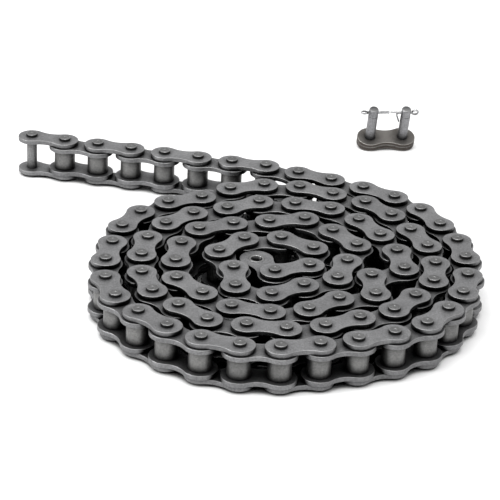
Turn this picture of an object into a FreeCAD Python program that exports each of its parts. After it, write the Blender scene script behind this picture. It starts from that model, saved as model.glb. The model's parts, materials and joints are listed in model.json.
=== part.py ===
"""Roller chain laid flat as a loose coil with a straight tail, and its loose connecting link.

Millimetres, +Z up. The chain lies on the ends of its pins, so every pin stands along Z.
The straight tail runs along X. The origin is on the floor, under the middle of the footprint.
The connecting link has its pins up and has tipped over onto the edge of its plate.
"""

import FreeCAD, Part
import math
import os

from FreeCAD import Vector

# roller chain of 1 1/4 inch pitch
PITCH = 31.75
ROLLER_D = 19.05
ROLLER_BORE = 13.60
ROLLER_L = 18.70
BUSH_D = 13.50
BUSH_BORE = 9.60
BUSH_L = 27.30
PIN_D = 9.53
PIN_L = 40.80
PLATE_T = 4.00
INNER_WIDTH = 18.90
OUTER_WIDTH = 27.60

# link plates: radius of the round ends and half the height of the waist
OUTER_END_R = 12.5
OUTER_WAIST = 8.9
INNER_END_R = 14.4
INNER_WAIST = 10.4
EDGE_BREAK = 0.45

# riveted end of a pin
HEAD_R = 5.15
HEAD_ROUND = 0.9
DIMPLE_R = 1.6
DIMPLE_DEPTH = 0.3

# connecting link: its pins step down from the riveted seat to the shank and the drilled tip
LINK_PIN_L = 46.90
LINK_PIN_CHAMFER = 0.8
SEAT_D = 9.93
TIP_D = 9.13
SHANK_L = OUTER_WIDTH
SLIP_FIT = 0.05
COVER_GAP = 0.20
SEAT_SPARE = 0.10
COTTER_HOLE_D = 3.40
COTTER_HOLE_DOWN = 4.50

# split pins bent from half-round wire
WIRE_R = 1.45
WIRE_SPLIT = 0.05
EYE_R = 2.3
NECK_R = 2.2
NECK_OUT = 5.0
LONG_LEG = 15.5
SHORT_LEG = 6.6
BEND_OUT = 6.6
BEND_R = 3.0
BEND_TURN = 110.0
BENT_DROP = 8.0
STRAIGHT_ROLL = 25.0

LINKS = 96
FREE_PAIRS = 8

# degrees the chain turns to the right at each joint, from the second pin of the tail
# to the last bush in the middle of the coil
RIGHT_TURNS = (
    # straight tail, then the outer turn of the coil
    [0] * 6 + [10, 0, 5, 5, 15, 15, 5, 15, 10, 10, 15, 10, 20, 10, 5, 5, 15, 15, 15, 10, 10, 20]
    + [15, 10, 5, 15, 20, 20]
    # second turn
    + [-15, 20, 20, 20, 5, 20, 15, 5, 15, 15, 25, 5, 25, 0, 15, 20, 5, 30, 5, 25, 15, 10, 20, 20, 20]
    # third turn, with the sharp dog-leg where the chain steps inwards
    + [-5, 30, 10, 30, 15, 10, 15, 70, -65, 75, -20, 25, 25, 30, 5, 40, 10, 20, 40, 10]
    # the tight middle
    + [0, 55, 10, 55, 0, 45, -5, 55, 65, -20, 65, 40, 40, 65, 60, 85]
)

# first pin of the tail, and the middle and heading of the connecting link
TAIL_START = (-214.1, 82.77)
LINK_PLACE = (95.95, 242.11)
LINK_HEADING = 18.0

AXIS_HEIGHT = PIN_L / 2
HEAD_H = (PIN_L - OUTER_WIDTH) / 2 - PLATE_T


def joint_places():
    """Where each pin stands along the chain, ending with the open last bush."""
    x, y = TAIL_START
    heading = 0.0
    places = [(x, y)]
    for turn in [0] + RIGHT_TURNS:
        heading -= turn
        x += PITCH * math.cos(math.radians(heading))
        y += PITCH * math.sin(math.radians(heading))
        places.append((x, y))
    return places


def outline_solid(end_r, waist):
    """Figure-of-eight plate blank: two round ends joined by hollow sides."""
    hollow_r = (PITCH ** 2 / 4 + waist ** 2 - end_r ** 2) / (2 * (end_r - waist))
    hollow_y = waist + hollow_r
    reach = math.hypot(PITCH / 2, hollow_y)
    tx = end_r * (PITCH / 2) / reach
    ty = end_r * hollow_y / reach
    low_left = Vector(tx, -ty, 0)
    low_right = Vector(PITCH - tx, -ty, 0)
    top_right = Vector(PITCH - tx, ty, 0)
    top_left = Vector(tx, ty, 0)
    edges = [
        Part.Arc(top_left, Vector(-end_r, 0, 0), low_left).toShape(),
        Part.Arc(low_left, Vector(PITCH / 2, -waist, 0), low_right).toShape(),
        Part.Arc(low_right, Vector(PITCH + end_r, 0, 0), top_right).toShape(),
        Part.Arc(top_right, Vector(PITCH / 2, waist, 0), top_left).toShape(),
    ]
    blank = Part.Face(Part.Wire(edges)).extrude(Vector(0, 0, PLATE_T))
    rims = [e for e in blank.Edges if abs(e.BoundBox.ZLength) < 1e-6]
    return blank.makeChamfer(EDGE_BREAK, rims)


def link_plate(end_r, waist, hole_r):
    """Plate lying on z = 0 with its first hole on the Z axis and its second along X."""
    plate = outline_solid(end_r, waist)
    for x in (0, PITCH):
        plate = plate.cut(Part.makeCylinder(hole_r, PLATE_T, Vector(x, 0, 0)))
    return plate


def turned(profile):
    """Solid of revolution about Z from (radius, height) corners."""
    corners = [Vector(r, 0, z) for r, z in profile]
    face = Part.Face(Part.makePolygon(corners + corners[:1]))
    return face.revolve(Vector(0, 0, 0), Vector(0, 0, 1), 360)


def riveted_head():
    """Spun pin end standing on z = 0, a little wider than the pin, with a centre dimple."""
    head = Part.makeCylinder(HEAD_R, HEAD_H)
    rim = [e for e in head.Edges if e.BoundBox.ZMin > HEAD_H - 1e-6]
    head = head.makeFillet(HEAD_ROUND, rim)
    dimple = Part.makeCone(
        DIMPLE_R - DIMPLE_DEPTH, DIMPLE_R, DIMPLE_DEPTH, Vector(0, 0, HEAD_H - DIMPLE_DEPTH)
    )
    return head.cut(dimple)


def flipped(shape):
    """Copy turned upside down about the X axis."""
    other = shape.copy()
    other.rotate(Vector(0, 0, 0), Vector(1, 0, 0), 180)
    return other


def lifted(shape, z):
    other = shape.copy()
    other.translate(Vector(0, 0, z))
    return other


def riveted_pin():
    """Chain pin centred on the origin with a spun head outside each outer plate."""
    shoulder = OUTER_WIDTH / 2 + PLATE_T
    shaft = Part.makeCylinder(PIN_D / 2, 2 * shoulder, Vector(0, 0, -shoulder))
    upper = lifted(riveted_head(), shoulder)
    return shaft.fuse([upper, flipped(upper)]).removeSplitter()


def ring(outer_r, inner_r, length, outer_break, inner_break):
    """Bush or roller centred on the origin, with its edges broken inside and out."""
    h = length / 2
    return turned(
        [
            (inner_r, h - inner_break),
            (inner_r + inner_break, h),
            (outer_r - outer_break, h),
            (outer_r, h - outer_break),
            (outer_r, outer_break - h),
            (outer_r - outer_break, -h),
            (inner_r + inner_break, -h),
            (inner_r, inner_break - h),
        ]
    )


def placed(shape, place, heading=0.0):
    other = shape.copy()
    other.rotate(Vector(0, 0, 0), Vector(0, 0, 1), heading)
    other.translate(Vector(place[0], place[1], AXIS_HEIGHT))
    return other


def along(start, end):
    return math.degrees(math.atan2(end[1] - start[1], end[0] - start[0]))


def split_pin(long_leg, short_path):
    """Split pin swept from half-round wire. Eye towards -X, legs along +X, eye flat in XY.

    short_path holds the edges of the leg below y = 0, listed from its tip to the neck.
    """
    neck_y = WIRE_SPLIT + NECK_R
    eye_x = -NECK_OUT - math.sqrt((NECK_R + EYE_R) ** 2 - neck_y ** 2)
    share = EYE_R / (EYE_R + NECK_R)
    touch_x = eye_x + (-NECK_OUT - eye_x) * share
    touch_y = neck_y * share
    mid = (math.atan2(-neck_y, eye_x + NECK_OUT) - math.pi / 2) / 2
    bulge_x = -NECK_OUT + NECK_R * math.cos(mid)
    bulge_y = neck_y + NECK_R * math.sin(mid)
    lower_neck = Part.Arc(
        Vector(-NECK_OUT, -WIRE_SPLIT, 0), Vector(bulge_x, -bulge_y, 0), Vector(touch_x, -touch_y, 0)
    )
    eye = Part.Arc(
        Vector(touch_x, -touch_y, 0), Vector(eye_x - EYE_R, 0, 0), Vector(touch_x, touch_y, 0)
    )
    upper_neck = Part.Arc(
        Vector(touch_x, touch_y, 0), Vector(bulge_x, bulge_y, 0), Vector(-NECK_OUT, WIRE_SPLIT, 0)
    )
    long_edge = Part.makeLine(Vector(-NECK_OUT, WIRE_SPLIT, 0), Vector(long_leg, WIRE_SPLIT, 0))
    path = Part.Wire(
        short_path + [lower_neck.toShape(), eye.toShape(), upper_neck.toShape(), long_edge]
    )
    tip = path.Edges[0]
    start = tip.valueAt(tip.FirstParameter)
    forward = tip.tangentAt(tip.FirstParameter)
    outward = forward.cross(Vector(0, 0, 1)) * -1
    low = start - Vector(0, 0, WIRE_R)
    high = start + Vector(0, 0, WIRE_R)
    round_side = Part.Arc(low, start + outward * WIRE_R, high).toShape()
    section = Part.Wire([round_side, Part.makeLine(high, low)])
    sweep = Part.BRepOffsetAPI.MakePipeShell(path)
    sweep.setBiNormalMode(Vector(0, 0, 1))
    sweep.add(section)
    sweep.build()
    sweep.makeSolid()
    return sweep.shape()


def straight_cotter():
    """Split pin with both legs straight, its eye rolled with the near side up."""
    short = Part.makeLine(Vector(SHORT_LEG, -WIRE_SPLIT, 0), Vector(-NECK_OUT, -WIRE_SPLIT, 0))
    cotter = split_pin(LONG_LEG, [short])
    cotter.rotate(Vector(0, 0, 0), Vector(1, 0, 0), -STRAIGHT_ROLL)
    return cotter


def bent_cotter():
    """Split pin with one leg turned down and back towards the pin, its eye standing upright."""
    y = -WIRE_SPLIT

    def around_bend(turned_by):
        angle = math.radians(turned_by)
        return Vector(BEND_OUT + BEND_R * math.sin(angle), y - BEND_R + BEND_R * math.cos(angle), 0)

    bend_end = around_bend(BEND_TURN)
    last = math.radians(BEND_TURN)
    tip = bend_end + Vector(math.cos(last), -math.sin(last), 0) * BENT_DROP
    drop = Part.makeLine(tip, bend_end)
    bend = Part.Arc(bend_end, around_bend(BEND_TURN / 2), around_bend(0))
    run = Part.makeLine(Vector(BEND_OUT, y, 0), Vector(-NECK_OUT, y, 0))
    cotter = split_pin(LONG_LEG, [drop, bend.toShape(), run])
    cotter.rotate(Vector(0, 0, 0), Vector(1, 0, 0), 90)
    return cotter


def connecting_pin():
    """Longer pin, riveted at the bottom, stepped, and cross-drilled near its chamfered top."""
    seat_top = HEAD_H + 2 * PLATE_T + COVER_GAP + SEAT_SPARE
    shank_top = seat_top + SHANK_L
    shaft = turned(
        [
            (0, HEAD_H),
            (SEAT_D / 2, HEAD_H),
            (SEAT_D / 2, seat_top),
            (PIN_D / 2, seat_top),
            (PIN_D / 2, shank_top),
            (TIP_D / 2, shank_top),
            (TIP_D / 2, LINK_PIN_L - LINK_PIN_CHAMFER),
            (TIP_D / 2 - LINK_PIN_CHAMFER, LINK_PIN_L),
            (0, LINK_PIN_L),
        ]
    )
    foot = lifted(flipped(riveted_head()), HEAD_H)
    hole_z = LINK_PIN_L - COTTER_HOLE_DOWN
    hole = Part.makeCylinder(
        COTTER_HOLE_D / 2, 2 * PIN_D, Vector(-PIN_D, 0, hole_z), Vector(1, 0, 0)
    )
    return shaft.fuse(foot).removeSplitter().cut(hole)


def chain_nodes():
    """Free links of the tail, two nodes to each link and one to each roller, then the coil."""
    places = joint_places()
    outer = link_plate(OUTER_END_R, OUTER_WAIST, PIN_D / 2)
    inner = link_plate(INNER_END_R, INNER_WAIST, BUSH_D / 2)
    pin = riveted_pin()
    bush = ring(BUSH_D / 2, BUSH_BORE / 2, BUSH_L, 0.3, 0.3)
    roller = ring(ROLLER_D / 2, ROLLER_BORE / 2, ROLLER_L, 0.6, 0.3)
    outer_top = lifted(outer, OUTER_WIDTH / 2)
    outer_bottom = lifted(outer, -OUTER_WIDTH / 2 - PLATE_T)
    inner_top = lifted(inner, INNER_WIDTH / 2)
    inner_bottom = lifted(inner, -INNER_WIDTH / 2 - PLATE_T)

    nodes = {}

    def add(node, shape):
        nodes.setdefault(node, []).append(shape)

    for i in range(LINKS):
        start, end = places[i], places[i + 1]
        heading = along(start, end)
        pair = i // 2 + 1
        free = pair <= FREE_PAIRS
        if i % 2 == 0:
            link = "outer_link_%d" % pair
            upper_node = link + "_plates" if free else "coil_outer_plates_top"
            lower_node = link + "_plates" if free else "coil_outer_plates_bottom"
            add(upper_node, placed(outer_top, start, heading))
            add(lower_node, placed(outer_bottom, start, heading))
            for place in (start, end):
                add(link + "_pins" if free else "coil_pins", placed(pin, place))
        else:
            link = "inner_link_%d" % pair
            upper_node = link + "_plates" if free else "coil_inner_plates_top"
            lower_node = link + "_plates" if free else "coil_inner_plates_bottom"
            add(upper_node, placed(inner_top, start, heading))
            add(lower_node, placed(inner_bottom, start, heading))
            for side, place in (("a", start), ("b", end)):
                add(link + "_bushes" if free else "coil_bushes", placed(bush, place))
                add("roller_%d%s" % (pair, side) if free else "coil_rollers", placed(roller, place))
    return nodes


def tipped(shape):
    """Tip a link standing on its pin heads towards -Y, onto the rims of the heads and its plate."""
    rim_y = HEAD_R - HEAD_ROUND
    plate_y = OUTER_END_R - EDGE_BREAK
    rise = HEAD_H - HEAD_ROUND
    reach = math.hypot(plate_y - rim_y, rise)
    lean = math.degrees(math.atan2(rise, plate_y - rim_y) + math.asin(HEAD_ROUND / reach))
    shape.rotate(Vector(0, -rim_y, HEAD_ROUND), Vector(1, 0, 0), lean)


def connecting_link_nodes():
    """Pin plate with its two pins, the cover plate dropped over them, and the two split pins."""
    hole_z = LINK_PIN_L - COTTER_HOLE_DOWN
    second = Vector(PITCH, 0, 0)
    pin_plate = lifted(link_plate(OUTER_END_R, OUTER_WAIST, SEAT_D / 2), HEAD_H)
    cover_plate = link_plate(OUTER_END_R, OUTER_WAIST, SEAT_D / 2 + SLIP_FIT)
    first_pin = connecting_pin()
    second_pin = first_pin.copy()
    second_pin.translate(second)
    cotter_2 = bent_cotter().mirror(Vector(0, 0, 0), Vector(1, 0, 0))
    cotter_2.translate(second + Vector(0, 0, hole_z))
    nodes = {
        "connecting_link_pin_plate": [pin_plate],
        "connecting_link_pins": [first_pin, second_pin],
        "connecting_link_cover_plate": [lifted(cover_plate, HEAD_H + PLATE_T + COVER_GAP)],
        "cotter_pin_1": [lifted(straight_cotter(), hole_z)],
        "cotter_pin_2": [cotter_2],
    }
    for shapes in nodes.values():
        for shape in shapes:
            shape.translate(Vector(-PITCH / 2, 0, 0))
            tipped(shape)
            shape.rotate(Vector(0, 0, 0), Vector(0, 0, 1), LINK_HEADING)
            shape.translate(Vector(LINK_PLACE[0], LINK_PLACE[1], 0))
    return nodes


os.makedirs("parts", exist_ok=True)
for nodes in (chain_nodes(), connecting_link_nodes()):
    for name, shapes in nodes.items():
        body = shapes[0] if len(shapes) == 1 else Part.makeCompound(shapes)
        body.exportStep("parts/%s.step" % name)
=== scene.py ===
"""Roller chain coil with a straight tail and a loose connecting link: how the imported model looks."""

import json
import math
import random

import bmesh
import bpy
from mathutils import Matrix, Vector
from mathutils.geometry import tessellate_polygon


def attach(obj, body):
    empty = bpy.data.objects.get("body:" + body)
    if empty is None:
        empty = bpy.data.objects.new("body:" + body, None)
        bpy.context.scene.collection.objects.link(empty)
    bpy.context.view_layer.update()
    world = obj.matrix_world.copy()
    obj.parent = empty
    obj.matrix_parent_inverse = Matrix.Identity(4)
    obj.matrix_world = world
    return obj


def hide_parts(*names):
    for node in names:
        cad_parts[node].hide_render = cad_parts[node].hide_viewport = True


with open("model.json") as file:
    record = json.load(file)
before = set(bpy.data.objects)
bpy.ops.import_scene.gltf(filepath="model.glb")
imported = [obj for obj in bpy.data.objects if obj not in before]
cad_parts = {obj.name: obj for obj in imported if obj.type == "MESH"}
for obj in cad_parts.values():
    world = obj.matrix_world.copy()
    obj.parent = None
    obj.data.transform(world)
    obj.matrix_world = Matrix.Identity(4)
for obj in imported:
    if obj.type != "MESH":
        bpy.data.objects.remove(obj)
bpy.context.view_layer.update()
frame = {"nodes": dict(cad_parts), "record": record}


# chain: sizes in metres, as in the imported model
PITCH = 0.03175
ROLLER_R = 0.009525
ROLLER_BORE_R = 0.0068
ROLLER_L = 0.0187
BUSH_R = 0.00675
BUSH_BORE_R = 0.0048
BUSH_L = 0.0273
PIN_R = 0.004765
PIN_L = 0.0408
PLATE_T = 0.004
INNER_WIDTH = 0.0189
OUTER_WIDTH = 0.0276
OUTER_END_R = 0.0125
OUTER_WAIST = 0.0089
INNER_END_R = 0.0144
INNER_WAIST = 0.0104
EDGE_BREAK = 0.00045
HOLE_MOUTH = 0.00025
BORE_EDGE = 0.0003
ROLLER_EDGE = 0.0006
LINKS = 96
FREE_PAIRS = 8

# riveted head of a pin: rounded rim, the faint groove left by riveting, and the centre mark
HEAD_R = 0.00515
HEAD_ROUND = 0.0009
HEAD_H = (PIN_L - OUTER_WIDTH) / 2 - PLATE_T
GROOVE_EDGE_R = 0.003
GROOVE_R = 0.0024
GROOVE_DEPTH = 0.00008
MARK_R = 0.0016
MARK_FLOOR_R = 0.0013
MARK_DEPTH = 0.0003
MARK_DISH = 0.00004

# connecting link: stepped, cross-drilled pins
LINK_PIN_L = 0.0469
LINK_PIN_CHAMFER = 0.0008
CHAMFER_SOFT = 0.0002
CHAMFER_DROP = CHAMFER_SOFT * 0.4
SEAT_R = 0.004965
TIP_R = 0.004565
SLIP_FIT = 0.00005
COVER_GAP = 0.0002
SEAT_SPARE = 0.0001
COTTER_HOLE_R = 0.0017
COTTER_DROP = 0.0045
COTTER_HEIGHT = LINK_PIN_L - COTTER_DROP
DRILL_REACH = 0.008

# split pins bent from half-round wire
WIRE_R = 0.00145
WIRE_HALF_HEIGHT = WIRE_R * 0.985
WIRE_FLAT = WIRE_R * 0.88
WIRE_CORNER = 0.0002
WIRE_SPLIT = 0.00005
EYE_R = 0.0023
NECK_R = 0.0022
NECK_OUT = 0.005
LONG_LEG = 0.0155
SHORT_LEG = 0.0066
BEND_OUT = 0.0066
BEND_R = 0.003
BEND_TURN = math.radians(110)
BENT_DROP = 0.008
STRAIGHT_ROLL = math.radians(25)

# where the chain and the connecting link lie
MIDDLE = PIN_L / 2
TAIL_START = (-0.2141, 0.08277)
LINK_PLACE = (0.09595, 0.24211, 0.0)
LINK_HEADING = math.radians(18)

# degrees the chain turns to the right at each joint, from the second pin of the tail
# to the last bush in the middle of the coil
RIGHT_TURNS = (
    # straight tail, then the outer turn of the coil
    [0] * 6 + [10, 0, 5, 5, 15, 15, 5, 15, 10, 10, 15, 10, 20, 10, 5, 5, 15, 15, 15, 10, 10, 20]
    + [15, 10, 5, 15, 20, 20]
    # second turn
    + [-15, 20, 20, 20, 5, 20, 15, 5, 15, 15, 25, 5, 25, 0, 15, 20, 5, 30, 5, 25, 15, 10, 20, 20, 20]
    # third turn, with the sharp dog-leg where the chain steps inwards
    + [-5, 30, 10, 30, 15, 10, 15, 70, -65, 75, -20, 25, 25, 30, 5, 40, 10, 20, 40, 10]
    # the tight middle
    + [0, 55, 10, 55, 0, 45, -5, 55, 65, -20, 65, 40, 40, 65, 60, 85]
)

chance = random.Random(96)


# ---------------------------------------------------------------- camera and light
CAMERA_PLACE = (0.3234, -1.63787, 0.8537)
CAMERA_LENS = 152.2
CAMERA_HEADING = math.radians(10.739)
CAMERA_DIP = math.radians(27.307)
CAMERA_ROLL = math.radians(2.712)
SKY_STRENGTH = 0.88
HORIZON_BLUR = 0.01
TOP_LIGHT = {"place": (0.0, -0.5, 2.2), "width": 1.6, "watts": 30}
KEY_LIGHT = {"place": (-1.7, -1.1, 1.0), "width": 1.0, "watts": 26}


def add_camera():
    """Camera in front of the coil, looking down on it from a little to the right."""
    level = Vector((math.cos(CAMERA_HEADING), math.sin(CAMERA_HEADING), 0))
    flat = math.cos(CAMERA_DIP)
    ahead = Vector((-level.y * flat, level.x * flat, -math.sin(CAMERA_DIP)))
    upright = level.cross(ahead)
    right = level * math.cos(CAMERA_ROLL) + upright * math.sin(CAMERA_ROLL)
    up = upright * math.cos(CAMERA_ROLL) - level * math.sin(CAMERA_ROLL)
    data = bpy.data.cameras.new("camera")
    data.sensor_width = 36
    data.lens = CAMERA_LENS
    data.clip_start = 0.05
    data.clip_end = 50
    camera = bpy.data.objects.new("camera", data)
    turn = Matrix((right, up, -ahead)).transposed()
    camera.matrix_world = Matrix.Translation(CAMERA_PLACE) @ turn.to_4x4()
    bpy.context.scene.collection.objects.link(camera)
    bpy.context.scene.camera = camera


def add_light(name, place, width, watts):
    """Square soft box aimed at the origin."""
    data = bpy.data.lights.new(name, "AREA")
    data.shape = "SQUARE"
    data.size = width
    data.energy = watts
    light = bpy.data.objects.new(name, data)
    light.location = place
    light.rotation_mode = "QUATERNION"
    light.rotation_quaternion = (-Vector(place)).to_track_quat("-Z", "Y")
    bpy.context.scene.collection.objects.link(light)


def add_studio():
    """White sky that is black below the horizon, a soft light overhead and one from the left."""
    world = bpy.data.worlds.new("studio")
    bpy.context.scene.world = world
    world.use_nodes = True
    tree = world.node_tree
    background = tree.nodes["Background"]
    background.inputs["Strength"].default_value = SKY_STRENGTH
    coords = tree.nodes.new("ShaderNodeTexCoord")
    split = tree.nodes.new("ShaderNodeSeparateXYZ")
    sky = tree.nodes.new("ShaderNodeMapRange")
    tree.links.new(coords.outputs["Generated"], split.inputs[0])
    tree.links.new(split.outputs["Z"], sky.inputs["Value"])
    sky.inputs["From Min"].default_value = -HORIZON_BLUR
    sky.inputs["From Max"].default_value = HORIZON_BLUR
    tree.links.new(sky.outputs["Result"], background.inputs["Color"])
    add_light("top", **TOP_LIGHT)
    add_light("key", **KEY_LIGHT)
    bpy.context.scene.view_settings.view_transform = "Standard"


# ---------------------------------------------------------------- mesh building
END_STEPS = 26
WAIST_STEPS = 14
EDGE_STEPS = 3
HEAD_STEPS = 4
PIN_STEPS = 32
TUBE_STEPS = 40
LINK_PIN_STEPS = 48
SHARP_ANGLE = math.radians(50)


def circle(x, r, z, count):
    return [
        (x + r * math.cos(2 * math.pi * i / count), r * math.sin(2 * math.pi * i / count), z)
        for i in range(count)
    ]


def plate_ring(end_r, waist, inset, z):
    """Figure-of-eight outline moved inwards by inset, anticlockwise, each round end then its hollow."""
    hollow_r = (PITCH**2 / 4 + waist**2 - end_r**2) / (2 * (end_r - waist))
    hollow_y = waist + hollow_r
    lean = math.atan2(hollow_y, PITCH / 2)
    points = []
    for half, end_x, side in ((0, PITCH, 1), (1, 0, -1)):
        r = end_r - inset
        for i in range(END_STEPS + 1):
            a = (half - 1) * math.pi + lean + 2 * (math.pi - lean) * i / END_STEPS
            points.append((end_x + r * math.cos(a), r * math.sin(a), z))
        r = hollow_r + inset
        for i in range(1, WAIST_STEPS):
            a = half * math.pi - lean - (math.pi - 2 * lean) * i / WAIST_STEPS
            points.append((PITCH / 2 + r * math.cos(a), side * hollow_y + r * math.sin(a), z))
    return points


def quarter_round(radius):
    """(inset, height) points of a rounded edge, from the level face up onto the upright one."""
    angles = [math.pi / 2 * i / EDGE_STEPS for i in range(EDGE_STEPS + 1)]
    return [(radius * (1 - math.sin(a)), radius * (1 - math.cos(a))) for a in angles]


class Shape:
    """Vertices and faces gathered from rings. The smooth flag of each face is kept with it."""

    def __init__(self):
        self.points = []
        self.faces = []
        self.smooth = []

    def add(self, points):
        first = len(self.points)
        self.points.extend(points)
        return list(range(first, first + len(points)))

    def face(self, ids, smooth=True):
        self.faces.append(tuple(ids))
        self.smooth.append(smooth)

    def band(self, low, high, outward=True):
        """Quads between two rings of the same length."""
        count = len(low)
        for i in range(count):
            j = (i + 1) % count
            quad = (low[i], low[j], high[j], high[i])
            self.face(quad if outward else quad[::-1])

    def fan(self, low, high):
        """Triangles between a ring and a single point on the axis."""
        count = max(len(low), len(high))
        for i in range(count):
            j = (i + 1) % count
            self.face((low[0], high[j], high[i]) if len(low) == 1 else (low[i], low[j], high[0]))

    def cap(self, rings, up):
        """Flat face with holes: the first ring is the outside."""
        loops = [[Vector(self.points[i]) for i in ring] for ring in rings]
        flat = [i for ring in rings for i in ring]
        for a, b, c in tessellate_polygon(loops):
            ids = (flat[a], flat[b], flat[c])
            p, q, r = (Vector(self.points[i]) for i in ids)
            faces_up = (q - p).cross(r - p).z > 0
            self.face(ids if faces_up == up else ids[::-1], smooth=False)


def plate_shape(end_r, waist, hole_r):
    """Link plate on z = 0 with rounded edges and countersunk hole mouths."""
    rim = quarter_round(EDGE_BREAK)
    profile = rim + [(inset, PLATE_T - z) for inset, z in reversed(rim)]
    shape = Shape()
    rings = [shape.add(plate_ring(end_r, waist, inset, z)) for inset, z in profile]
    for low, high in zip(rings, rings[1:]):
        shape.band(low, high)
    bore = [(HOLE_MOUTH, 0), (0, HOLE_MOUTH), (0, PLATE_T - HOLE_MOUTH), (HOLE_MOUTH, PLATE_T)]
    holes = []
    for x in (0, PITCH):
        stack = [shape.add(circle(x, hole_r + extra, z, PIN_STEPS)) for extra, z in bore]
        for low, high in zip(stack, stack[1:]):
            shape.band(low, high, outward=False)
        holes.append(stack)
    shape.cap([rings[0]] + [stack[0] for stack in holes], up=False)
    shape.cap([rings[-1]] + [stack[-1] for stack in holes], up=True)
    return shape


def lathe_shape(profile, count=PIN_STEPS, closed=False):
    """Turned shape about Z from (radius, height) points going up the outside.

    An open profile starts and ends on the axis; a closed one is a tube's whole section.
    """
    shape = Shape()
    rings = [shape.add(circle(0, r, z, count) if r else [(0, 0, z)]) for r, z in profile]
    pairs = list(zip(rings, rings[1:]))
    if closed:
        pairs.append((rings[-1], rings[0]))
    for low, high in pairs:
        if len(low) == len(high):
            shape.band(low, high)
        else:
            shape.fan(low, high)
    return shape


def tube_shape(outer_r, inner_r, length, outer_edge, bore_edge):
    """Bush or roller centred on z = 0, with rounded outside edges."""
    h = length / 2
    lower = [(outer_r - inset, z - h) for inset, z in quarter_round(outer_edge)]
    upper = [(r, -z) for r, z in reversed(lower)]
    start = [(inner_r + bore_edge, -h)]
    bore = [(inner_r + bore_edge, h), (inner_r, h - bore_edge), (inner_r, bore_edge - h)]
    return lathe_shape(start + lower + upper + bore, TUBE_STEPS, closed=True)


def head_profile():
    """Riveted end above a plate: (radius, height above the plate), from the plate to the axis."""
    points = [(HEAD_R, 0)]
    for i in range(HEAD_STEPS + 1):
        a = math.pi / 2 * i / HEAD_STEPS
        r = HEAD_R - HEAD_ROUND * (1 - math.cos(a))
        points.append((r, HEAD_H - HEAD_ROUND * (1 - math.sin(a))))
    points.append((GROOVE_EDGE_R, HEAD_H))
    points.append((GROOVE_R, HEAD_H - GROOVE_DEPTH))
    points.append((MARK_R, HEAD_H))
    points.append((MARK_FLOOR_R, HEAD_H - MARK_DEPTH))
    points.append((0, HEAD_H - MARK_DEPTH - MARK_DISH))
    return points


def pin_shape():
    """Chain pin centred on z = 0, riveted at both ends."""
    shoulder = OUTER_WIDTH / 2 + PLATE_T
    top = [(PIN_R, shoulder)] + [(r, shoulder + z) for r, z in head_profile()]
    bottom = [(r, -z) for r, z in reversed(top)]
    return lathe_shape(bottom + top)


class Piece:
    """One visible piece made of copies of small shapes, each copy with its own random tone."""

    def __init__(self):
        self.points = []
        self.faces = []
        self.smooth = []
        self.tone = []

    def add(self, shape, matrix):
        first = len(self.points)
        step = -1 if matrix.determinant() < 0 else 1
        self.points.extend(matrix @ Vector(p) for p in shape.points)
        self.faces.extend(tuple(i + first for i in face[::step]) for face in shape.faces)
        self.smooth.extend(shape.smooth)
        self.tone.extend([chance.random()] * len(shape.points))

    def build(self, name, material):
        mesh = bpy.data.meshes.new(name)
        mesh.from_pydata(self.points, [], self.faces)
        tone = mesh.attributes.new("tone", "FLOAT", "POINT")
        tone.data.foreach_set("value", self.tone)
        mesh.set_sharp_from_angle(angle=SHARP_ANGLE)
        mesh.polygons.foreach_set("use_smooth", self.smooth)
        mesh.materials.append(material)
        mesh.update()
        piece = bpy.data.objects.new(name, mesh)
        bpy.context.scene.collection.objects.link(piece)
        return piece


def put(pieces, node, shape, matrix):
    """Add one more copy of the shape to the node's piece."""
    pieces.setdefault(node, Piece()).add(shape, matrix)


# ---------------------------------------------------------------- connecting link
MILLIMETRES = 1000
WELD = 0.005
BEND_STEPS = 12
NECK_STEPS = 8
EYE_STEPS = 28
WIRE_STEPS = 12


def connecting_pin_shape():
    """Stepped pin standing on its riveted head, cross-drilled along X near the top."""
    foot = [(r, HEAD_H - z) for r, z in reversed(head_profile())]
    seat_top = HEAD_H + 2 * PLATE_T + COVER_GAP + SEAT_SPARE
    shank_top = seat_top + OUTER_WIDTH
    top = LINK_PIN_L
    chamfer_low = top - LINK_PIN_CHAMFER
    end_r = TIP_R - LINK_PIN_CHAMFER
    shaft = [
        (SEAT_R, HEAD_H),
        (SEAT_R, seat_top),
        (PIN_R, seat_top),
        (PIN_R, shank_top),
        (TIP_R, shank_top),
        (TIP_R, chamfer_low - CHAMFER_SOFT),
        (TIP_R - CHAMFER_DROP, chamfer_low),
        (end_r + CHAMFER_SOFT, top - CHAMFER_DROP),
        (end_r - CHAMFER_SOFT, top),
        (0, top),
    ]
    walls = [(COTTER_HOLE_R, -DRILL_REACH), (COTTER_HOLE_R, DRILL_REACH)]
    drill = lathe_shape([(0, -DRILL_REACH)] + walls + [(0, DRILL_REACH)])
    lying = Matrix.Translation((0, 0, COTTER_HEIGHT)) @ Matrix.Rotation(math.pi / 2, 4, "Y")
    return cut_shape(lathe_shape(foot + shaft, LINK_PIN_STEPS), drill, lying)


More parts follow.
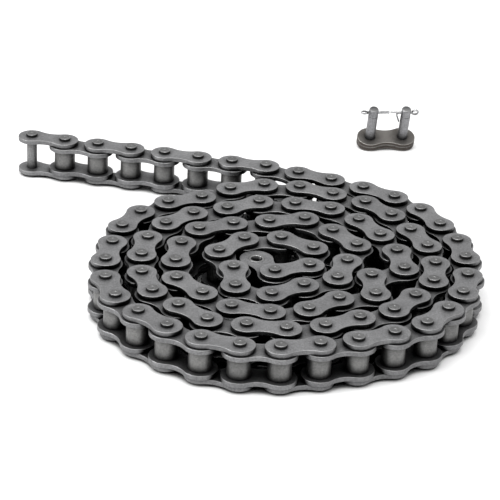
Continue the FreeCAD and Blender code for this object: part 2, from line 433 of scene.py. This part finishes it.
def cut_shape(shape, tool, matrix):
    """The shape with the tool taken out of it, worked out in millimetres."""
    blanks = []
    for part, place in ((shape, Matrix.Identity(4)), (tool, matrix)):
        mesh = bpy.data.meshes.new("blank")
        mesh.from_pydata(part.points, [], part.faces)
        mesh.transform(Matrix.Scale(MILLIMETRES, 4) @ place)
        blanks.append(bpy.data.objects.new("blank", mesh))
        bpy.context.scene.collection.objects.link(blanks[-1])
    cut = blanks[0].modifiers.new("cut", "BOOLEAN")
    cut.operation = "DIFFERENCE"
    cut.solver = "EXACT"
    cut.object = blanks[1]
    work = bmesh.new()
    work.from_object(blanks[0], bpy.context.evaluated_depsgraph_get())
    bmesh.ops.remove_doubles(work, verts=work.verts, dist=WELD)
    bmesh.ops.triangulate(work, faces=[face for face in work.faces if len(face.verts) > 4])
    result = Shape()
    result.add([v.co / MILLIMETRES for v in work.verts])
    for face in work.faces:
        result.face(v.index for v in face.verts)
    work.free()
    for blank in blanks:
        mesh = blank.data
        bpy.data.objects.remove(blank)
        bpy.data.meshes.remove(mesh)
    return result


def arc(x, y, r, start, end, steps):
    """Points along an arc as (x, y, heading), leaving out its first point."""
    way = math.pi / 2 if end > start else -math.pi / 2
    angles = [start + (end - start) * i / steps for i in range(1, steps + 1)]
    return [(x + r * math.cos(a), y + r * math.sin(a), a + way) for a in angles]


def short_leg(bent):
    """Start of a split pin's path: the tip of its lower leg and, on a bent one, the bend."""
    low = -WIRE_SPLIT
    if not bent:
        return [(SHORT_LEG, low, math.pi)]
    last = math.pi / 2 - BEND_TURN
    back = last + math.pi / 2
    x = BEND_OUT + BEND_R * math.cos(last)
    y = low - BEND_R + BEND_R * math.sin(last)
    tip = (x - BENT_DROP * math.cos(back), y - BENT_DROP * math.sin(back), back)
    return [tip, (x, y, back)] + arc(BEND_OUT, low - BEND_R, BEND_R, last, math.pi / 2, BEND_STEPS)


def cotter_shape(bent):
    """Split pin of half-round wire along X, its eye at -X, one leg straight or bent down."""
    neck_y = WIRE_SPLIT + NECK_R
    eye_x = -NECK_OUT - math.sqrt((NECK_R + EYE_R) ** 2 - neck_y**2)
    lean = math.atan2(neck_y, -NECK_OUT - eye_x)
    path = short_leg(bent)
    path.append((-NECK_OUT, -WIRE_SPLIT, math.pi))
    path += arc(-NECK_OUT, -neck_y, NECK_R, math.pi / 2, math.pi - lean, NECK_STEPS)
    path += arc(eye_x, 0, EYE_R, -lean, lean - 2 * math.pi, EYE_STEPS)
    path += arc(-NECK_OUT, neck_y, NECK_R, math.pi + lean, 1.5 * math.pi, NECK_STEPS)
    path.append((LONG_LEG, WIRE_SPLIT, 0))
    return wire_shape(path)


def wire_shape(path):
    """Half-round wire with softened corners swept along (x, y, heading) points."""
    section = []
    for i in range(WIRE_STEPS + 1):
        a = math.pi * (i / WIRE_STEPS - 0.5)
        section.append((max(WIRE_R * math.cos(a), WIRE_CORNER), WIRE_HALF_HEIGHT * math.sin(a)))
    section += [(0, WIRE_FLAT), (0, -WIRE_FLAT)]
    shape = Shape()
    rings = []
    for x, y, heading in path:
        left = (-math.sin(heading), math.cos(heading))
        rings.append(shape.add([(x + left[0] * out, y + left[1] * out, z) for out, z in section]))
    for first, second in zip(rings, rings[1:]):
        shape.band(first, second)
    shape.face(reversed(rings[0]), smooth=False)
    shape.face(rings[-1], smooth=False)
    return shape


def link_matrix():
    """From the connecting link standing on its pin heads to where it lies, tipped onto its plate."""
    rim_y = HEAD_R - HEAD_ROUND
    plate_y = OUTER_END_R - EDGE_BREAK
    rise = HEAD_H - HEAD_ROUND
    reach = math.hypot(plate_y - rim_y, rise)
    lean = math.atan2(rise, plate_y - rim_y) + math.asin(HEAD_ROUND / reach)
    hinge = Vector((0, -rim_y, HEAD_ROUND))
    tip = Matrix.Translation(hinge) @ Matrix.Rotation(lean, 4, "X") @ Matrix.Translation(-hinge)
    turn = Matrix.Translation(LINK_PLACE) @ Matrix.Rotation(LINK_HEADING, 4, "Z")
    return turn @ tip @ Matrix.Translation((-PITCH / 2, 0, 0))


def connecting_link_pieces():
    """The connecting link's nodes rebuilt with finer edges and round wire: node name to Piece."""
    whole = link_matrix()
    second = Matrix.Translation((PITCH, 0, 0))
    up = Matrix.Translation((0, 0, COTTER_HEIGHT))
    on_heads = Matrix.Translation((0, 0, HEAD_H))
    on_plate = Matrix.Translation((0, 0, HEAD_H + PLATE_T + COVER_GAP))
    plate = plate_shape(OUTER_END_R, OUTER_WAIST, SEAT_R)
    cover = plate_shape(OUTER_END_R, OUTER_WAIST, SEAT_R + SLIP_FIT)
    pin = connecting_pin_shape()
    roll = Matrix.Rotation(-STRAIGHT_ROLL, 4, "X")
    facing = second @ up @ Matrix.Scale(-1, 4, (1, 0, 0)) @ Matrix.Rotation(math.pi / 2, 4, "X")
    layout = [
        ("connecting_link_pin_plate", plate, on_heads),
        ("connecting_link_cover_plate", cover, on_plate),
        ("connecting_link_pins", pin, Matrix.Identity(4)),
        ("connecting_link_pins", pin, second),
        ("cotter_pin_1", cotter_shape(False), up @ roll),
        ("cotter_pin_2", cotter_shape(True), facing),
    ]
    pieces = {}
    for node, shape, matrix in layout:
        put(pieces, node, shape, whole @ matrix)
    return pieces


# ---------------------------------------------------------------- chain
def joint_places():
    """Where each pin stands along the chain, ending with the open last bush."""
    x, y = TAIL_START
    heading = 0.0
    places = [Vector((x, y, MIDDLE))]
    for turn in [0] + RIGHT_TURNS:
        heading -= turn
        x += PITCH * math.cos(math.radians(heading))
        y += PITCH * math.sin(math.radians(heading))
        places.append(Vector((x, y, MIDDLE)))
    return places


def chain_shapes():
    """The five small shapes that the whole chain is made of."""
    return {
        "outer_plate": plate_shape(OUTER_END_R, OUTER_WAIST, PIN_R),
        "inner_plate": plate_shape(INNER_END_R, INNER_WAIST, BUSH_R),
        "pin": pin_shape(),
        "bush": tube_shape(BUSH_R, BUSH_BORE_R, BUSH_L, BORE_EDGE, BORE_EDGE),
        "roller": tube_shape(ROLLER_R, ROLLER_BORE_R, ROLLER_L, ROLLER_EDGE, BORE_EDGE),
    }


def put_plates(pieces, shapes, kind, pair, start, end):
    """The top and bottom plates of one link."""
    along = end - start
    turn = Matrix.Rotation(math.atan2(along.y, along.x), 4, "Z")
    width = {"outer": OUTER_WIDTH, "inner": INNER_WIDTH}[kind]
    for side, z in (("top", width / 2), ("bottom", -width / 2 - PLATE_T)):
        node = "coil_%s_plates_%s" % (kind, side)
        if pair <= FREE_PAIRS:
            node = "%s_link_%d_plates" % (kind, pair)
        put(pieces, node, shapes[kind + "_plate"], Matrix.Translation(start + Vector((0, 0, z))) @ turn)


def put_ends(pieces, shapes, kind, pair, start, end):
    """The two pins of an outer link, or the two bushes of an inner link and their rollers."""
    free = pair <= FREE_PAIRS
    for letter, place in (("a", start), ("b", end)):
        spin = Matrix.Rotation(chance.uniform(0, 2 * math.pi), 4, "Z")
        here = Matrix.Translation(place) @ spin
        if kind == "outer":
            put(pieces, "outer_link_%d_pins" % pair if free else "coil_pins", shapes["pin"], here)
            continue
        put(pieces, "inner_link_%d_bushes" % pair if free else "coil_bushes", shapes["bush"], here)
        put(pieces, "roller_%d%s" % (pair, letter) if free else "coil_rollers", shapes["roller"], here)


def chain_pieces():
    """Every CAD node of the chain rebuilt with finer edges: node name to Piece."""
    places = joint_places()
    shapes = chain_shapes()
    pieces = {}
    for i in range(LINKS):
        kind = ("outer", "inner")[i % 2]
        pair = i // 2 + 1
        put_plates(pieces, shapes, kind, pair, places[i], places[i + 1])
        put_ends(pieces, shapes, kind, pair, places[i], places[i + 1])
    return pieces


# ---------------------------------------------------------------- materials
# scale, detail and roughness of each noise
GRAIN = (1200, 7.0, 0.78)
SPECKS = (520, 6.0, 0.75)
SCRATCHES = (420, 4.0, 0.7)
BLOTCHES = (70, 3.0, 0.5)
SCRATCH_STRETCH = (1.0, 5.0, 1.0)

# each pattern: a low and a high value, and what those two become
GRAIN_SPAN = (0.34, 0.66, 0.0, 1.0)
SPECK_SPAN = (0.36, 0.6, 0.8, 1.06)
BLOTCH_SPAN = (0.3, 0.7, 0.88, 1.08)
COPY_SPAN = (0.0, 1.0, 0.93, 1.07)
# rim brightening: partly edge wear, partly painted highlight
WEAR_AND_SHEEN_SPAN = (0.25, 0.6, 0.55, 1.0)
SCRATCH_SPAN = (0.3, 0.7)
SCRATCH_DIP = 0.07
SCRATCH_RISE = 0.1
RUBBED_POLISH = 0.14
GRAIN_STRENGTH = 0.35
GRAIN_DEPTH = 0.00006

# faces told apart by how level they are: a low and a high value, and what those two become
# where the painted shade of upright and level faces changes over
ENDS_SPAN = (0.4, 0.85)
UPRIGHT_SPAN = (0.3, 0.7, 1.0, 0.0)
RIM_FROM_SIDE = (0.3, 0.55, 0.0, 1.0)
RIM_TO_TOP = (0.9, 0.98, 1.0, 0.0)
HEAD_SIDE_SPAN = (0.45, 0.8, 1.0, 0.0)

# painted shade on the sides of riveted heads, from just above the plate
HEAD_START = 0.0003
HEAD_SIDE_SHADE = 0.8
HEAD_SHADE_BLACK = (0.01, 0.01, 0.01)

# painted shade from crowding: how far around a point steel counts, and how open a face is when it turns
# black
CREVICE_REACH = 0.011
COIL_REACH = 0.06
CREVICE_SAMPLES = 8
BLACK_LEVEL = 0.1
BLACK_BELOW_SIDE = 0.32


class Graph:
    """Short names for the nodes of one material."""

    def __init__(self, name):
        self.material = bpy.data.materials.new(name)
        self.material.use_nodes = True
        self.tree = self.material.node_tree
        self.shader = self.tree.nodes["Principled BSDF"]
        self.place = self.node("ShaderNodeTexCoord")

    def node(self, kind, **values):
        made = self.tree.nodes.new(kind)
        for key, value in values.items():
            setattr(made, key, value)
        return made

    def feed(self, socket, value):
        if isinstance(value, bpy.types.NodeSocket):
            self.tree.links.new(value, socket)
        else:
            socket.default_value = value

    def noise(self, scale, detail, rough, stretch=None):
        coords = self.place.outputs["Object"]
        if stretch:
            mapping = self.node("ShaderNodeMapping")
            mapping.inputs["Scale"].default_value = stretch
            self.feed(mapping.inputs["Vector"], coords)
            coords = mapping.outputs["Vector"]
        made = self.node("ShaderNodeTexNoise")
        made.inputs["Scale"].default_value = scale
        made.inputs["Detail"].default_value = detail
        made.inputs["Roughness"].default_value = rough
        self.feed(made.inputs["Vector"], coords)
        return made.outputs["Fac"]

    def span(self, value, low, high, to_low, to_high):
        """The value's way from low to high as an eased way from to_low to to_high."""
        made = self.node("ShaderNodeMapRange", interpolation_type="SMOOTHSTEP")
        for socket, item in zip(made.inputs, (value, low, high, to_low, to_high)):
            self.feed(socket, item)
        return made.outputs["Result"]

    def maths(self, operation, first, second=0.0):
        made = self.node("ShaderNodeMath", operation=operation)
        self.feed(made.inputs[0], first)
        self.feed(made.inputs[1], second)
        return made.outputs[0]

    def mix(self, amount, first, second, blend="MIX"):
        made = self.node("ShaderNodeMix", data_type="RGBA", blend_type=blend)
        self.feed(made.inputs["Factor"], amount)
        self.feed(made.inputs["A"], first)
        self.feed(made.inputs["B"], second)
        return made.outputs["Result"]

    def grey(self, value):
        made = self.node("ShaderNodeCombineColor")
        for socket in made.inputs:
            self.feed(socket, value)
        return made.outputs["Color"]

    def dim(self, colour, value):
        """The colour times a grey value."""
        return self.mix(1.0, colour, self.grey(value), "MULTIPLY")

    def openness(self, reach):
        """Near 0 where neighbouring steel crowds the surface, 1 where it is open."""
        made = self.node("ShaderNodeAmbientOcclusion", samples=CREVICE_SAMPLES)
        made.inputs["Distance"].default_value = reach
        return made.outputs["AO"]

    def level(self):
        """1 on level faces, 0 on upright ones."""
        split = self.node("ShaderNodeSeparateXYZ")
        self.feed(split.inputs[0], self.place.outputs["Normal"])
        return self.maths("ABSOLUTE", split.outputs["Z"])

    def head_sides(self):
        """1 on the upright sides of the riveted heads outside the plates."""
        shoulder = OUTER_WIDTH / 2 + PLATE_T
        spot = self.node("ShaderNodeSeparateXYZ")
        self.feed(spot.inputs[0], self.place.outputs["Object"])
        out = self.maths("ABSOLUTE", self.maths("SUBTRACT", spot.outputs["Z"], MIDDLE))
        outside = self.span(out, shoulder, shoulder + HEAD_START, 0, 1)
        return self.maths("MULTIPLY", self.span(self.level(), *HEAD_SIDE_SPAN), outside)

    def rims(self):
        """1 on the rounded edges between level and upright faces."""
        level = self.level()
        off_side = self.span(level, *RIM_FROM_SIDE)
        return self.maths("MULTIPLY", off_side, self.span(level, *RIM_TO_TOP))


def rgba(colour):
    return (*colour, 1.0)


def grained(g, light, dark, grain, blotches):
    """Speckled and blotched colour, a little lighter or darker on each copy of a shape."""
    specks = g.noise(*SPECKS)
    tone = g.node("ShaderNodeAttribute", attribute_name="tone").outputs["Fac"]
    colour = g.mix(g.span(grain, *GRAIN_SPAN), rgba(dark), rgba(light))
    colour = g.dim(colour, g.span(blotches, *BLOTCH_SPAN))
    colour = g.dim(colour, g.span(specks, *SPECK_SPAN))
    return g.dim(colour, g.span(tone, *COPY_SPAN))


def painted_crevice_shade(g, crevice_shade_power, reach, deep, side):
    """Painted shade: 1 in the open, dark where steel crowds together, and black deep inside the coil.
    """
    shade = g.maths("POWER", g.openness(reach), crevice_shade_power)
    if not deep:
        return shade
    upright = g.span(g.level(), *UPRIGHT_SPAN)
    black = g.span(upright, 0, 1, BLACK_LEVEL, side - BLACK_BELOW_SIDE)
    clear = g.span(upright, 0, 1, deep, side)
    inside = g.span(g.openness(COIL_REACH), black, clear, 0, 1)
    return g.maths("MULTIPLY", shade, inside)


def steel(
    name, light, dark, rim, rough, crevice_shade_power=2.0, reach=CREVICE_REACH, deep=0.42, side=0.42,
    cut=1.0, ends=1.0, head=False
):
    """Oiled bare steel: speckled grain, broad blotches, painted crevice shade, and worn edges with a
    painted highlight.

    light and dark are the colours of the grain, and rim that of bright edges, partly worn steel and
    partly a painted highlight. cut and ends scale the colour of upright and of level faces as painted
    shade. The crevice power and reach say how dark and how wide the painted crevice shade is. deep
    and side are how open a level and an upright face must be to escape the painted black shade inside
    the coil; a deep of 0 leaves that out. head paints black shade onto the sides of riveted heads.
    """
    g = Graph(name)
    grain = g.noise(*GRAIN)
    blotches = g.noise(*BLOTCHES)
    scratches = g.noise(*SCRATCHES, SCRATCH_STRETCH)
    # bright rims: partly worn bare steel, partly a painted highlight
    wear_and_sheen = g.maths("MULTIPLY", g.rims(), g.span(blotches, *WEAR_AND_SHEEN_SPAN))
    colour = grained(g, light, dark, grain, blotches)
    # painted shade: upright faces darkened by cut and level faces by ends
    colour = g.dim(colour, g.span(g.level(), *ENDS_SPAN, cut, ends))
    colour = g.mix(wear_and_sheen, colour, rgba(rim))
    # painted shade: the upright sides of the riveted heads turned nearly black
    if head:
        colour = g.mix(g.maths("MULTIPLY", g.head_sides(), HEAD_SIDE_SHADE), colour, rgba(HEAD_SHADE_BLACK))
    # painted shade: the colour darkened where steel crowds together and blackened deep inside the coil
    g.feed(g.shader.inputs["Base Color"], g.dim(colour, painted_crevice_shade(g, crevice_shade_power, reach, deep, side)))
    g.shader.inputs["Metallic"].default_value = 1.0
    dull = g.span(scratches, *SCRATCH_SPAN, rough - SCRATCH_DIP, rough + SCRATCH_RISE)
    polish = g.maths("MULTIPLY", wear_and_sheen, RUBBED_POLISH)
    g.feed(g.shader.inputs["Roughness"], g.maths("SUBTRACT", dull, polish))
    bump = g.node("ShaderNodeBump")
    bump.inputs["Strength"].default_value = GRAIN_STRENGTH
    bump.inputs["Distance"].default_value = GRAIN_DEPTH
    g.feed(bump.inputs["Height"], grain)
    g.feed(g.shader.inputs["Normal"], bump.outputs["Normal"])
    return g.material


# the finish of each material slot, and the connecting link's own pins
LOOKS = {
    "plates": {
        "name": "plate_steel",
        "light": (0.355, 0.355, 0.36),
        "dark": (0.195, 0.195, 0.2),
        "rim": (0.33, 0.33, 0.33),
        "rough": 0.5,
        "side": 0.75,
        # painted shade on the plates' upright sides
        "cut": 0.72,
    },
    "pins": {
        "name": "pin_steel",
        "light": (0.31, 0.31, 0.31),
        "dark": (0.16, 0.16, 0.16),
        "rim": (0.3, 0.3, 0.3),
        "rough": 0.5,
        # painted shade on the pins' level ends
        "ends": 0.78,
        # painted shade blackens the sides of the pin heads
        "head": True,
    },
    "bushes": {
        "name": "bush_steel",
        "light": (0.3, 0.3, 0.3),
        "dark": (0.2, 0.2, 0.2),
        "rim": (0.5, 0.5, 0.5),
        "rough": 0.4,
    },
    "rollers": {
        "name": "roller_steel",
        "light": (0.235, 0.234, 0.231),
        "dark": (0.155, 0.154, 0.151),
        "rim": (0.3, 0.3, 0.295),
        "rough": 0.45,
    },
    "link_plates": {
        "name": "link_plate_steel",
        "light": (0.1, 0.086, 0.078),
        "dark": (0.045, 0.039, 0.035),
        "rim": (0.4, 0.39, 0.37),
        "rough": 0.55,
        "deep": 0,
    },
    "cotters": {
        "name": "cotter_steel",
        "light": (0.55, 0.55, 0.56),
        "dark": (0.3, 0.3, 0.31),
        "rim": (0.55, 0.55, 0.55),
        "rough": 0.32,
        # power of the painted crevice shade
        "crevice_shade_power": 1.0,
        "deep": 0,
    },
}
LINK_PIN_LOOK = {
    "name": "link_pin_steel",
    "light": (0.36, 0.36, 0.37),
    "dark": (0.17, 0.17, 0.175),
    "rim": (0.3, 0.3, 0.3),
    "rough": 0.5,
    "reach": 0.012,
    "deep": 0,
    # painted shade on the level tops of the connecting link's pins
    "ends": 0.4,
}


# ---------------------------------------------------------------- floor
FLOOR_HALF = 12.0
FLOOR_WHITE = 0.9
# painted glow of the open floor
FLOOR_GLOW = 0.08
FLOOR_ROUGH = 0.9
FLOOR_SHADE_SPAN = (0.12, 0.45, 0.0, 1.0)


def add_floor():
    """Wide white floor with a faint painted glow that lightens its shadows, and painted shade that
    turns it black where the coil closes it in.
    """
    mesh = bpy.data.meshes.new("floor")
    corners = [(-1, -1, 0), (1, -1, 0), (1, 1, 0), (-1, 1, 0)]
    mesh.from_pydata([Vector(corner) * FLOOR_HALF for corner in corners], [], [(0, 1, 2, 3)])
    floor = bpy.data.objects.new("floor", mesh)
    bpy.context.scene.collection.objects.link(floor)
    g = Graph("floor")
    # painted shade and glow: the floor fades to black where the coil closes it in, and glows faintly in
    # the open
    unshaded_floor = g.span(g.openness(COIL_REACH), *FLOOR_SHADE_SPAN)
    g.feed(g.shader.inputs["Base Color"], g.grey(g.maths("MULTIPLY", unshaded_floor, FLOOR_WHITE)))
    g.shader.inputs["Roughness"].default_value = FLOOR_ROUGH
    g.shader.inputs["Specular IOR Level"].default_value = 0.0
    g.shader.inputs["Emission Color"].default_value = (1, 1, 1, 1)
    g.feed(g.shader.inputs["Emission Strength"], g.maths("MULTIPLY", unshaded_floor, FLOOR_GLOW))
    mesh.materials.append(g.material)
    floor.visible_shadow = False


# ---------------------------------------------------------------- everything together
def dress():
    """Replace every CAD node by its finer piece, and give both their steel."""
    slots = {s["node"]: s["material_slot"] for s in frame["record"]["subparts"]}
    bodies = {}
    for body, nodes in frame["record"]["behaviour"]["bodies"].items():
        for node in nodes:
            bodies[node] = body
    finishes = {slot: steel(**look) for slot, look in LOOKS.items()}
    own = {"connecting_link_pins": steel(**LINK_PIN_LOOK)}
    for node, piece in {**chain_pieces(), **connecting_link_pieces()}.items():
        shown = piece.build(node + "_look", own.get(node, finishes[slots[node]]))
        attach(shown, bodies[node])
        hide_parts(node)
    for name, node in frame["nodes"].items():
        node.data.materials.clear()
        node.data.materials.append(finishes[slots[name]])


add_camera()
add_floor()
add_studio()
dress()
